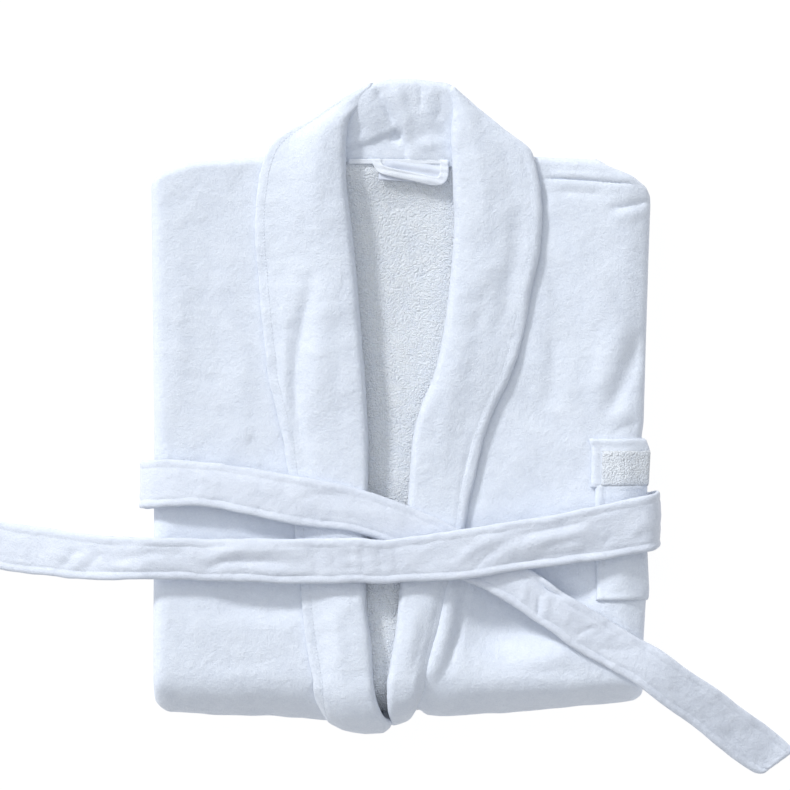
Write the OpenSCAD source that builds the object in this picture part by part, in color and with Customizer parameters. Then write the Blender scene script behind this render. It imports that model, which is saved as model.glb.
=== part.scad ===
// Hotel bathrobe with a shawl collar, folded flat and tied with its belt.
// X runs across the bundle, Y from the bottom fold to the collar, Z up from the floor.
// The origin is on the floor under the middle of the folded body.

/* [Bundle] */
// Width of the folded body
body_w = 500; // [470:5:500]
// Height of the bottom fold of the front panels
fold_h = 45; // [44:0.5:46]
// Y of the shoulder edge
shoulder_y = 280; // [276:1:282]
// Y of the outside of the bottom fold
fold_y = -278; // [-280:1:-274]
// Thickness of one panel
cloth = 5; // [4.8:0.1:5]

/* [Collar] */
// Thickness of the upper collar
upper_collar_t = 4.5; // [4:0.1:4.8]
// Thickness of the under collar
under_collar_t = 4.5; // [4:0.1:4.8]
// Gap beside a lapel leaf that lifts
leaf_gap = 0.4; // [0.3:0.1:0.8]

/* [Pocket] */
// Height of the pocket
pocket_h = 163; // [150:1:170]
// Depth of the pocket band
pocket_band_h = 51; // [40:1:55]
// X of the pocket's inner edge
pocket_x = 198; // [190:1:205]

/* [Belt] */
// Width of the belt
belt_w = 43; // [40:1:46]
// Thickness of the belt
belt_t = 5; // [4:0.1:5]
// Thickness of the belt where the bundle lies on it
belt_pressed_t = 3; // [2.5:0.1:3.2]
// Width of the hems on the skirt
hem_w = 30; // [25:1:35]

/* [Neck] */
// Width of the hanger loop
loop_w = 78; // [70:1:80]
// Width of the hanger loop's tape
tape_w = 9; // [8:0.5:10]
// Length of the blank label
label_w = 66; // [60:1:68]

/* [Hidden] */
$fn = 64;
slack = 0.1;
edge_x = body_w / 2;
mid_z = fold_h / 2;
fold_centre_y = fold_y + fold_h / 2;
hem_y = 262;

// Radii of the nested folds, outside to inside
front_r = fold_h / 2;
back_r = front_r - cloth;
back_turn_r = back_r - cloth - slack;
turn_t = 3.9;
front_turn_r = back_turn_r - turn_t;
inner_r = front_turn_r - turn_t;
slit = 0.5;

// Hanger loop and back of the collar
loop_x = 13;
loop_y = 254;
loop_z = 42.5;
loop_t = 2.6;
label_y = 246;
neck_seam_y = shoulder_y + 0.6;
fall_z = 36;

// Heights of the layers on top
front_top = fold_h;
under_top = front_top + under_collar_t;
collar_top = under_top + upper_collar_t;
back_top = front_top - cloth;
lower_run_z = collar_top + 0.3;
upper_run_z = lower_run_z + belt_t + 0.3;
belt_top = upper_run_z + belt_t;

// Sleeve layer
sleeve_z = mid_z - inner_r;
sleeve_t = 5.8;
sleeve_edge_x = 30;
turn_edge_x = 95;
side_wall = 5;

// Where the two front bands meet under the bundle, and where each one turns round the fold
front_meet_x = 34;
front_meet_gap = 0.3;
band_w = 64;
band_turn_y = -150;
left_fold_x = -89;
right_fold_x = 25;

// Plan of the folded body with its sloping shoulders
body_outline = [[-250, -400], [-250, 246], [-243, 264], [-212, 276], [-150, 280], [150, 280], [200, 278],
    [232, 264], [248, 246], [250, 236], [250, -400]];

// Lapel edges, from the neck down to the bottom fold
left_roll = [[-54, 322], [-55, 270], [-47, 190], [-38, 75], [-34, -20], [-36, -140], [-29, -225],
    [-23, -262]];
left_free = [[-136, 283], [-145, 215], [-141, 160], [-129, 55], [-111, -40], [-103, -100], [-98, -170],
    [-84, -255]];
right_roll = [[53, 297], [56, 225], [45, 110], [22, 25], [8, -80], [-3, -190], [-6, -230], [-7, -262]];
right_free = [[132, 282], [141, 225], [133, 155], [111, 65], [84, 5], [65, -85], [43, -175], [22, -262]];
left_crown = [[-27, 358], [-62, 338], [-93, 318], [-123, 301], [-136, 283]];
right_crown = [[52, 354], [77, 332], [105, 309], [124, 295], [132, 282]];
stand_crown = [[-54, 322], [-27, 358], [3, 361], [36, 357], [52, 354], [53, 297]];

// Ends of the lines along which the lapel leaves lift
left_hinge = [[-117, -12], [-85, 322]];
right_hinge = [[70, -58], [98, 315]];

// Belt runs across the front, from left to right
upper_run_top = [[-250, -97], [-130, -98], [0, -98], [61, -88], [143, -76], [196, -65], [259, -53]];
upper_run_bottom = [[-250, -139], [-130, -142], [0, -141], [89, -133], [143, -126], [196, -119], [259, -108]];
lower_run_top = [[-259, -22], [-195, -23], [-130, -31], [-43, -48], [17, -68], [57, -88], [136, -132],
    [180, -154]];
lower_run_bottom = [[-259, -68], [-195, -66], [-130, -79], [-43, -93], [17, -115], [75, -141],
    [125, -169], [155, -191]];

// Tails: where each leaves its belt half, and its underside as [distance, height]
left_tail_start = [-250.4, -118];
left_tail_drop = [[0, 59.6], [12, 57.5], [40, 48], [80, 32], [120, 16.5], [155, 5], [175, 0.8],
    [185, 0], [196, 0]];
tail_start = [162, -169];
tail_angle = -35.4;
tail_drop = [[0, 54.3], [25, 49.5], [60, 45.4], [128, 45.4], [150, 40.5], [180, 29], [210, 17],
    [238, 7.5], [258, 1.5], [266, 0], [278, 0]];

function reversed(p) = [for (i = [len(p) - 1 : -1 : 0]) p[i]];

// A smooth line through a few points
function between(a, b, c, d, u) =
    0.5 * (2 * b + (c - a) * u + (2 * a - 5 * b + 4 * c - d) * u * u
    + (3 * b - a - 3 * c + d) * u * u * u);
function smooth(p, steps = 4) = [
    for (i = [0 : len(p) - 2], k = [0 : steps - 1])
        between(p[max(i - 1, 0)], p[i], p[i + 1], p[min(i + 2, len(p) - 1)], k / steps),
    p[len(p) - 1]
];

// A panel folded once round the bottom of the bundle, seen from its side
module fold_profile(r_out, r_in, end_low, end_high, z = mid_z, y = fold_centre_y) {
    difference() {
        union() {
            translate([y, z]) circle(r_out);
            translate([y, z - r_out]) square([end_low - y, r_out]);
            translate([y, z]) square([end_high - y, r_out]);
        }
        translate([y, z]) circle(r_in);
        translate([y, z - r_in]) square([1000, 2 * r_in]);
    }
}

module folded(x0, x1, r_out, r_in, end_low, end_high) {
    translate([x0, 0, 0]) rotate([90, 0, 90])
        linear_extrude(x1 - x0) fold_profile(r_out, r_in, end_low, end_high);
}

module slab(outline, z0, t) {
    translate([0, 0, z0]) linear_extrude(t) polygon(outline);
}

module block(x0, x1, y0, y1, z0, z1) {
    translate([x0, y0, z0]) cube([x1 - x0, y1 - y0, z1 - z0]);
}

// The groove that the belt presses into the underside
module belt_groove() {
    x = 300;
    slab([[-x, back_run_top(-x) + 1], [x, back_run_top(x) + 1], [x, back_run_bottom(x) - 1],
        [-x, back_run_bottom(-x) - 1]], -1, belt_pressed_t + 1.1);
}

// Plan of everything outboard of a lapel's hinge line; side is -1 for left, 1 for right
module outboard(side, margin = 0) {
    hinge = side < 0 ? left_hinge : right_hinge;
    along = hinge[1] - hinge[0];
    translate(hinge[0]) rotate(atan2(along.y, along.x))
        translate([-300, side < 0 ? margin : -200 - margin]) square([1000, 200]);
}

left_lapel = concat(smooth(left_crown), smooth(left_free), reversed(smooth(left_roll)));
right_lapel = concat(smooth(right_crown), smooth(right_free), reversed(smooth(right_roll)));

// ---------- Panels ----------

// One front panel wraps the side of the bundle and turns in over the sleeve
module front_panel(side) {
    difference() {
        intersection() {
            union() {
                mirror([side < 0 ? 1 : 0, 0, 0]) {
                    folded(edge_x - side_wall, edge_x, front_r, inner_r, hem_y - hem_w, shoulder_y);
                    folded(turn_edge_x, edge_x, front_turn_r, inner_r, hem_y - hem_w, shoulder_y - 30);
                }
                intersection() {
                    mirror([side < 0 ? 1 : 0, 0, 0])
                        folded(-60, edge_x, front_r, back_r + slack, hem_y - hem_w, shoulder_y);
                    front_outline(side);
                }
            }
            slab(body_outline, -1, 100);
        }
        belt_groove();
    }
}

// Plan of a front panel: its upper leaf stops under the lapel, its lower leaf at the band
module front_outline(side) {
    roll = side < 0 ? left_roll : right_roll;
    inset = side * 16;
    fold_x = side < 0 ? left_fold_x : right_fold_x;
    band_edge_x = side < 0 ? front_meet_x - band_w - front_meet_gap : front_meet_x + band_w;
    far_side = [[fold_x, -400], [side * 260, -400]];
    slab(concat([[roll[0].x + inset, shoulder_y]],
        [for (p = smooth(roll)) if (p.y > -200 && p.y < shoulder_y) [p.x + inset, p.y]],
        [[fold_x, -216]], far_side, [[side * 260, shoulder_y]]), mid_z, 60);
    slab(concat([[band_edge_x, 400], [band_edge_x, band_turn_y], [fold_x, side < 0 ? -230 : -262]],
        far_side, [[side * 260, 400]]), -1, mid_z + 1);
}

module back_panel() {
    side_x = edge_x - side_wall - slack;
    color("white") intersection() {
        union() {
            folded(-side_x, side_x, back_r, back_r - cloth, hem_y - hem_w, shoulder_y);
            for (side = [0, 1]) mirror([side, 0, 0]) {
                folded(side_x - side_wall, side_x, back_r, front_turn_r + slack,
                    hem_y - hem_w, shoulder_y - 20);
                folded(turn_edge_x, side_x, back_turn_r - slit, front_turn_r + slack,
                    hem_y - hem_w, shoulder_y - 20);
            }
        }
        slab(body_outline, -1, 100);
    }
}

module front_panel_left() { color("white") front_panel(-1); }
module front_panel_right() { color("white") front_panel(1); }

// Hems continue each panel to the skirt's edge, with its turned-in side
module hem(x_in, x_out, z0, z_turn, z_top, t) {
    y0 = hem_y - hem_w;
    block(x_in, x_out, y0, hem_y, z0, z0 + t);
    block(x_out - side_wall, x_out, y0, hem_y, z0, z_top);
    block(turn_edge_x, x_out, y0, hem_y, z_turn, z_top);
}
module hem_back() {
    color("white") for (side = [0, 1]) mirror([side, 0, 0])
        hem(0, edge_x - side_wall - slack, cloth, mid_z - back_turn_r + slit,
            mid_z - front_turn_r - slack, cloth);
}
module front_hem(side, x_in) {
    mirror([side < 0 ? 1 : 0, 0, 0])
        hem(x_in, edge_x, 0, mid_z - front_turn_r, mid_z - inner_r, cloth - slack);
}
module hem_left() { color("white") front_hem(-1, band_w + front_meet_gap - front_meet_x); }
module hem_right() { color("white") front_hem(1, front_meet_x + band_w); }

// ---------- Sleeves, folded flat behind the body ----------

module sleeve(side) {
    outline = [[30, -150], [232, -150], [236, 120], [228, 236], [120, 240], [40, 215]];
    slab([for (p = outline) [side * p.x, p.y]], sleeve_z, sleeve_t);
}
module cuff(side) {
    mirror([side < 0 ? 1 : 0, 0, 0])
        block(sleeve_edge_x - 2, 234, -236, -150, sleeve_z, sleeve_z + sleeve_t + 0.4);
}
module sleeve_left() { color("white") sleeve(-1); }
module sleeve_right() { color("white") sleeve(1); }
module cuff_left() { color("white") cuff(-1); }
module cuff_right() { color("white") cuff(1); }

// ---------- Collar and front bands ----------

band_fold_r = collar_top / 2;
band_inner_r = (front_top - cloth) / 2;
band_fold_y = -268;
band_fold_z = collar_top / 2;

// The band's run from the front round the bottom fold
module band_profile() {
    difference() {
        union() {
            translate([band_fold_y, band_fold_z]) circle(band_fold_r);
            translate([band_fold_y, 0]) square([hem_y - band_fold_y, collar_top]);
        }
        translate([band_fold_y, cloth + band_inner_r]) circle(band_inner_r);
        translate([band_fold_y, cloth]) square([1000, under_top - cloth]);
        translate([-240, cloth]) square([1000, 100]);
    }
}

// Plan of the band from the bottom fold to the hem, on the underside
function band_outline(side) = side < 0
    ? [[-88, -230], [-83, -262], [-62, -300], [-20, -300], [-9, -270], [-22, -230],
       [front_meet_x - 0.3, -150], [front_meet_x - 0.3, hem_y],
       [front_meet_x - band_w, hem_y], [front_meet_x - band_w, -150]]
    : [[-8.7, -270], [-5, -288], [22, -285], [24, -262], [front_meet_x + band_w - 0.3, -150],
       [front_meet_x + band_w - 0.3, hem_y], [front_meet_x, hem_y], [front_meet_x, -150], [-8.7, -230]];

module upper_collar(side) {
    outline = side < 0 ? left_lapel : right_lapel;
    difference() {
        union() {
            translate([0, 0, under_top]) linear_extrude(upper_collar_t) difference() {
                polygon(outline);
                outboard(side, -leaf_gap);
            }
            intersection() {
                translate([-100, 0, 0]) rotate([90, 0, 90]) linear_extrude(260) band_profile();
                slab(band_outline(side), -1, 100);
            }
        }
        belt_groove();
    }
}
module under_collar(side) {
    outline = side < 0 ? left_lapel : right_lapel;
    translate([0, 0, front_top]) linear_extrude(under_collar_t - 0.02) difference() {
        intersection() {
            polygon(outline);
            translate([-300, -230]) square([600, 700]);
        }
        outboard(side, -leaf_gap);
    }
}
module leaf(side, z0, t) {
    outline = side < 0 ? left_lapel : right_lapel;
    translate([0, 0, z0]) linear_extrude(t) intersection() {
        polygon(outline);
        outboard(side);
    }
}
module upper_collar_left() { color("white") upper_collar(-1); }
module upper_collar_right() { color("white") upper_collar(1); }
module under_collar_left() { color("white") under_collar(-1); }
module under_collar_right() { color("white") under_collar(1); }
module upper_leaf_left() { color("white") leaf(-1, under_top, upper_collar_t); }
module upper_leaf_right() { color("white") leaf(1, under_top, upper_collar_t); }
module under_leaf_left() { color("white") leaf(-1, front_top + 0.3, under_collar_t - 0.32); }
module under_leaf_right() { color("white") leaf(1, front_top + 0.3, under_collar_t - 0.32); }

// Inside of the collar at the back of the neck
module collar_back_stand() {
    color("white") translate([0, 0, front_top]) linear_extrude(cloth) difference() {
        polygon(concat(smooth(stand_crown), [[50, 283], [-54, 283]]));
        polygon(left_lapel);
        polygon(right_lapel);
    }
}
// Outside of the collar at the back of the neck, under the stand
module collar_back_fall() {
    color("white") slab(concat(smooth(left_crown), [[-136, neck_seam_y], [131, neck_seam_y]],
        reversed(smooth(right_crown)), [[36, 357], [3, 361]]), fall_z, front_top - fall_z);
}
module neck_tape() {
    color("white") block(-52, 50, shoulder_y - 6, shoulder_y, back_top, back_top + 1.2);
}

// ---------- Hanger loop and label ----------

module hanger_loop() {
    color("white") translate([loop_x, 0, loop_z]) difference() {
        block(-loop_w / 2, loop_w / 2, loop_y, shoulder_y, 0, loop_t);
        block(-loop_w / 2 + tape_w, loop_w / 2 - tape_w, loop_y + tape_w, 300, -1, loop_t + 1);
    }
}
module size_label() {
    color("white") block(loop_x - label_w / 2, loop_x + label_w / 2, label_y, shoulder_y - 6.5,
        back_top, back_top + 1);
}

// ---------- Pocket, wrapped round the right side ----------

module pocket_wrap(y0, y1, t, x_in) {
    block(x_in, edge_x + 2.6, y0, y1, front_top, front_top + t);
    block(edge_x, edge_x + 2.6, y0, y1, 25, front_top + t);
    block(edge_x - 100, edge_x + 2.6, y0, y1, 25, 26.3);
}
module pocket() {
    color("white") pocket_wrap(2 - pocket_h, 2 - pocket_band_h, 3, pocket_x);
}
module pocket_band() {
    color("white") pocket_wrap(2.02 - pocket_band_h, 2, 3.8, pocket_x - 1);
}

module belt_loop(side) {
    mirror([side < 0 ? 1 : 0, 0, 0]) block(turn_edge_x + 2, turn_edge_x + 14, -105, -35,
        mid_z + inner_r - 2.3, mid_z + inner_r);
}
module belt_loop_left() { color("white") belt_loop(-1); }
module belt_loop_right() { color("white") belt_loop(1); }

// ---------- Belt, two halves joined at the middle of the back ----------

belt_seam_x = 0;
bend_in = 253;
bend_out = 258;
function back_run_top(x) = -22 - (x + bend_out) * 31 / (2 * bend_out);
function back_run_bottom(x) = -70 - (x + bend_out) * 39 / (2 * bend_out);

module back_run(x0, x1) {
    slab([[x0, back_run_top(x0)], [x1, back_run_top(x1)], [x1, back_run_bottom(x1)],
        [x0, back_run_bottom(x0)]], 0, belt_pressed_t);
}
module run(top, bottom, z0, x_from, x_to) {
    intersection() {
        slab(concat(smooth(top), reversed(smooth(bottom))), z0, belt_t);
        block(x_from, x_to, -400, 400, 0, 200);
    }
}
// Half that carries the left tail: over the front, down the right side, back to the seam
module belt_half_left_tail() {
    color("white") {
        run(upper_run_top, upper_run_bottom, upper_run_z, -250, bend_out);
        block(bend_in, bend_out, -108, -54, 0, belt_top);
        back_run(belt_seam_x, bend_out);
    }
}
// Half that carries the right tail: seam, left side, under the crossing
module belt_half_right_tail() {
    color("white") {
        back_run(-bend_out, belt_seam_x - 0.02);
        block(-bend_out, -bend_in, -68, -22, 0, lower_run_z + belt_t);
        difference() {
            run(lower_run_top, lower_run_bottom, lower_run_z, -bend_out, 200);
            translate([tail_start.x, tail_start.y, 0]) rotate(tail_angle)
                block(-0.4, 200, -60, 60, 0, 200);
        }
    }
}

// A strap coming down to the floor, seen from its side; points run along its underside
module strap(points, t, w) {
    top = [for (p = points) [p[0], p[1] + t]];
    translate([0, w / 2, 0]) rotate([90, 0, 0]) linear_extrude(w)
        polygon(concat(points, reversed(top)));
}
module belt_tail_left() {
    color("white") translate([left_tail_start.x, left_tail_start.y, 0]) mirror([1, 0, 0])
        strap(left_tail_drop, belt_t, belt_w);
}
module belt_tail_right() {
    color("white") translate([tail_start.x, tail_start.y, 0]) rotate(tail_angle)
        strap(tail_drop, belt_t, belt_w);
}

back_panel();
front_panel_left();
front_panel_right();
hem_back();
hem_left();
hem_right();
sleeve_left();
sleeve_right();
cuff_left();
cuff_right();
upper_collar_left();
upper_collar_right();
under_collar_left();
under_collar_right();
upper_leaf_left();
upper_leaf_right();
under_leaf_left();
under_leaf_right();
collar_back_stand();
collar_back_fall();
neck_tape();
hanger_loop();
size_label();
pocket();
pocket_band();
belt_loop_left();
belt_loop_right();
belt_half_left_tail();
belt_half_right_tail();
belt_tail_left();
belt_tail_right();
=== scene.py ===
"""Looks of a white shawl-collar bathrobe, folded flat and tied with its belt.

Lengths are in millimetres until a mesh is made. X runs across the bundle,
Y from the bottom fold to the collar, Z up from the floor.
"""
import math

import bpy
import numpy as np
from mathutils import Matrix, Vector


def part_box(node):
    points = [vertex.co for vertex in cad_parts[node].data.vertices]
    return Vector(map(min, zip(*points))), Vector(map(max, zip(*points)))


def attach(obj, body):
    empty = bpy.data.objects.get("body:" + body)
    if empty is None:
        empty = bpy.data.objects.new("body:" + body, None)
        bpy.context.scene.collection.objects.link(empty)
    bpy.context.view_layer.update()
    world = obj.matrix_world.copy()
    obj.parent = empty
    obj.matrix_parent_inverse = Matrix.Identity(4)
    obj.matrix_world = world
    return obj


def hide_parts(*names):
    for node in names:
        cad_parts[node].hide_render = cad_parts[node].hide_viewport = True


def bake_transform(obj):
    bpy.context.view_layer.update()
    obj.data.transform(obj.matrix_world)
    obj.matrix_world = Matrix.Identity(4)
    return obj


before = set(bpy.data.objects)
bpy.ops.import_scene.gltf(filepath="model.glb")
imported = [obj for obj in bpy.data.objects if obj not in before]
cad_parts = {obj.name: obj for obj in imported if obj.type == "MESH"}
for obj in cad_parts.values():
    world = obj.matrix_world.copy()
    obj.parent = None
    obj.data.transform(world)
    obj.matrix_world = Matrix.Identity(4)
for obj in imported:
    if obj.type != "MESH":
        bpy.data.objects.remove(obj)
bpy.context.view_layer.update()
MM = 0.001


def cad(node):
    """Lowest and highest corner of a CAD node, in millimetres."""
    low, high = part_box(node)
    return np.array(low) / MM, np.array(high) / MM


# ---------- Driving sizes, read from the frame ----------

PANEL_LOW, PANEL_HIGH = cad("front_panel_right")
HALF_W = PANEL_HIGH[0]
TOP = PANEL_HIGH[2]
MID = TOP / 2
NOSE_Y = PANEL_LOW[1]
SHOULDER_Y = PANEL_HIGH[1]
HEM_START, HEM_Y = (corner[1] for corner in cad("hem_back"))
LAPEL_TOP = cad("upper_collar_left")[1][2]
# How far in from the middle a turned side ends, how thick a panel is, and where the bottom fold begins
TURN_X = 95.0
CLOTH = 4.4
FOLD_Y = -240.0
# Where the lowest layer starts to turn up round the bottom fold
FOLD_START = -262.0
# Heights above or below the middle at which the turned-in sides of the fronts and the back lie
FRONT_TURN = 6.7
BACK_TURN = 10.4
WORDS = {-1: "left", 1: "right"}


# ---------- Small maths ----------

def smoothstep(t):
    t = np.clip(t, 0, 1)
    return t * t * (3 - 2 * t)


def lerp(a, b, t):
    return a + (b - a) * t


def bump(t):
    return np.exp(-np.square(t))


def unit(v):
    """Vectors scaled to a length of one."""
    return v / np.maximum(np.linalg.norm(v, axis=-1, keepdims=True), 1e-9)


def distance_along(points):
    """How far each point of a line is from its start."""
    return np.concatenate([[0], np.cumsum(np.linalg.norm(np.diff(points, axis=0), axis=1))])


def curve(points, n=None, step=None):
    """A smooth line through points, sampled evenly along its length."""
    p = np.array(points, float)
    p = np.vstack([2 * p[0] - p[1], p, 2 * p[-1] - p[-2]])
    out = []
    u = np.linspace(0, 1, 24, endpoint=False)[:, None]
    for i in range(1, len(p) - 2):
        a, b, c, d = p[i - 1:i + 3]
        out.append(0.5 * (2 * b + (c - a) * u + (2 * a - 5 * b + 4 * c - d) * u**2
                          + (3 * b - a - 3 * c + d) * u**3))
    out.append(p[-2][None])
    dense = np.vstack(out)
    along = distance_along(dense)
    if n is None:
        n = max(2, int(math.ceil(along[-1] / step)) + 1)
    at = np.linspace(0, along[-1], n)
    return np.stack([np.interp(at, along, dense[:, k]) for k in range(dense.shape[1])], axis=1)


def lattice(seed):
    return np.random.default_rng(seed).random((64, 64)) * 2 - 1


def noise(x, y, scale, seed):
    """Smooth noise from -1 to 1."""
    table = lattice(seed)
    u, v = np.asarray(x) / scale + 1000, np.asarray(y) / scale + 1000
    i, j = np.floor(u).astype(int), np.floor(v).astype(int)
    a, b = smoothstep(u - i), smoothstep(v - j)
    i, j, i1, j1 = i % 64, j % 64, (i + 1) % 64, (j + 1) % 64
    return lerp(lerp(table[i, j], table[i1, j], a), lerp(table[i, j1], table[i1, j1], a), b)


def waves(x, y, *layers):
    """Sum of noises, each given as (height, scale, seed)."""
    return sum(height * noise(x, y, scale, seed) for height, scale, seed in layers)


# Share of a fold's length over which each of its ends fades
TAPER = 0.35


def ridge(x, y, line, height, width):
    """A soft fold along a line in plan: positive is a ridge, negative a valley."""
    path = curve(line, n=22)
    out = np.zeros(np.shape(x))
    low, high = path.min(0) - 3 * width, path.max(0) + 3 * width
    near = (x > low[0]) & (x < high[0]) & (y > low[1]) & (y < high[1])
    if not near.any():
        return out
    p = np.stack([x[near], y[near]], axis=-1)
    best = np.full(len(p), 1e9)
    at = np.zeros(len(p))
    total = 0.0
    for a, b in zip(path[:-1], path[1:]):
        d = b - a
        size = np.linalg.norm(d)
        t = np.clip(((p - a) @ d) / (size * size), 0, 1)
        away = np.linalg.norm(p - a - t[:, None] * d, axis=1)
        closer = away < best
        best[closer] = away[closer]
        at[closer] = total + t[closer] * size
        total += size
    ends = smoothstep(at / (TAPER * total)) * smoothstep((total - at) / (TAPER * total))
    out[near] = height * bump(best / width) * ends
    return out


def ridges(x, y, folds):
    """Sum of folds, each given as (line, height, width)."""
    return sum(ridge(x, y, *fold) for fold in folds)


def table(value, points):
    """Piecewise-linear lookup, with points as (at, result)."""
    p = sorted(points)
    return np.interp(value, [a for a, _ in p], [b for _, b in p])


# ---------- Meshes ----------

def normals(m):
    return unit(np.cross(np.gradient(m, axis=0), np.gradient(m, axis=1)))


def edge_distance(m):
    """How far each grid point is from the nearest border of the grid."""
    def both(axis):
        step = np.linalg.norm(np.diff(m, axis=axis), axis=2)
        pad = [(0, 0), (0, 0)]
        pad[axis] = (1, 0)
        along = np.cumsum(np.pad(step, pad), axis=axis)
        return np.minimum(along, np.take(along, [-1], axis=axis) - along)
    return both(0), both(1)


def shell_sides(m, thick):
    """The two faces of a cloth whose middle is the grid m, with rounded edges."""
    t = np.broadcast_to(np.asarray(thick, float), m.shape[:2]).copy()
    for d in edge_distance(m):
        r = t * 0.55
        t = t * np.sqrt(np.clip(1 - np.square(1 - np.clip(d / r, 0.02, 1)), 0, 1))
    half = normals(m) * (t / 2)[..., None]
    return m + half, m - half


def quads(nu, nv, offset=0):
    i, j = np.meshgrid(np.arange(nu - 1), np.arange(nv - 1), indexing="ij")
    a = (i * nv + j).ravel() + offset
    return np.stack([a, a + nv, a + nv + 1, a + 1], axis=1)


def add_piece(name, verts, faces, materials, body):
    """An object with smooth faces; its vertices are in millimetres."""
    mesh = bpy.data.meshes.new(name)
    mesh.from_pydata((np.array(verts) * MM).tolist(), [], faces)
    for material in materials:
        mesh.materials.append(material)
    mesh.polygons.foreach_set("use_smooth", np.ones(len(faces), bool))
    mesh.update()
    piece = bpy.data.objects.new(name, mesh)
    bpy.context.scene.collection.objects.link(piece)
    if body is not None:
        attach(piece, body)
    return piece


def build(name, outer, inner, body, materials):
    """A closed cloth from its two faces."""
    nu, nv = outer.shape[:2]
    count = nu * nv
    face_out = quads(nu, nv)
    face_in = quads(nu, nv, count)[:, ::-1]
    ids = np.arange(count).reshape(nu, nv)
    rim = np.concatenate([ids[0, :-1], ids[:-1, -1], ids[-1, :0:-1], ids[:0:-1, 0]])
    ahead = np.roll(rim, -1)
    wall = np.stack([rim, ahead, ahead + count, rim + count], axis=1)
    faces = np.vstack([face_out, face_in, wall])
    verts = np.vstack([outer.reshape(-1, 3), inner.reshape(-1, 3)])
    piece = add_piece(name, verts, faces.tolist(), materials, body)
    if len(materials) > 1:
        slots = np.zeros(len(faces), int)
        slots[len(face_out):len(face_out) + len(face_in)] = 1
        piece.data.polygons.foreach_set("material_index", slots)
    return piece


# Middle surface of every piece of cloth, for the sheet sizes measured at the end
cloths = {}


def cloth(name, m, thick, body, materials, nodes=(), flip=False):
    """A closed cloth whose middle is the grid m, in the place of the given CAD nodes.

    Returns the piece and the grid of its outer face.
    """
    outer, inner = shell_sides(m, thick)
    if flip:
        outer, inner = inner, outer
    piece = build(name, outer, inner, body, materials)
    if flip:
        piece.data.flip_normals()
    if nodes:
        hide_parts(*nodes)
    cloths[name] = (piece, m.copy())
    return piece, outer


STITCH_PITCH = 3.4
STITCH_LENGTH = 2.3
STITCH_WIDTH = 0.75
STITCH_SIDES = 6
# Shape of a stitch, as shares of its length and of its width
STITCH_ALONG = np.array([-0.5, -0.36, 0.36, 0.5])
STITCH_FAT = np.array([0.35, 1.0, 1.0, 0.35])


def stitches(name, rows, lift):
    """Rows of thread stitches; each row is (points, normals) along a surface."""
    corners = np.linspace(0, 2 * math.pi, STITCH_SIDES, endpoint=False)
    ring = np.array([[math.cos(a), math.sin(a)] for a in corners])
    radius = STITCH_FAT * STITCH_WIDTH / 2
    verts, faces = [], []
    for points, up in rows:
        along = distance_along(points)
        at = np.arange(STITCH_PITCH / 2, along[-1], STITCH_PITCH)
        p, q, n = (np.stack([np.interp(where, along, values[:, k]) for k in range(3)], axis=1)
                   for where, values in ((at, points), (at + 0.2, points), (at, up)))
        n = unit(n)
        t = unit(q - p)
        s = np.cross(n, t)
        for k in range(len(at)):
            base = len(verts)
            for a, r in zip(STITCH_ALONG * STITCH_LENGTH, radius):
                for c, d in ring:
                    verts.append(p[k] + t[k] * a + s[k] * c * r + n[k] * (lift + d * r))
            for a in range(3):
                low = base + a * STITCH_SIDES
                high = low + STITCH_SIDES
                for b in range(STITCH_SIDES):
                    after = (b + 1) % STITCH_SIDES
                    faces.append((low + b, low + after, high + after, high + b))
            faces.append(tuple(base + b for b in reversed(range(STITCH_SIDES))))
            faces.append(tuple(base + 3 * STITCH_SIDES + b for b in range(STITCH_SIDES)))
    piece = add_piece(name, verts, faces, [THREAD], None)
    return piece


def row_on(face, column):
    """A line along a cloth's face at a fractional column, with its normals."""
    n = normals(face)
    j = min(max(int(math.floor(column)), 0), face.shape[1] - 2)
    f = column - j
    return lerp(face[:, j], face[:, j + 1], f), lerp(n[:, j], n[:, j + 1], f)


# ---------- Materials ----------

def node_of(tree, kind, **values):
    n = tree.nodes.new(kind)
    for key, value in values.items():
        if key in n.inputs:
            n.inputs[key].default_value = value
        else:
            setattr(n, key, value)
    return n


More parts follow.
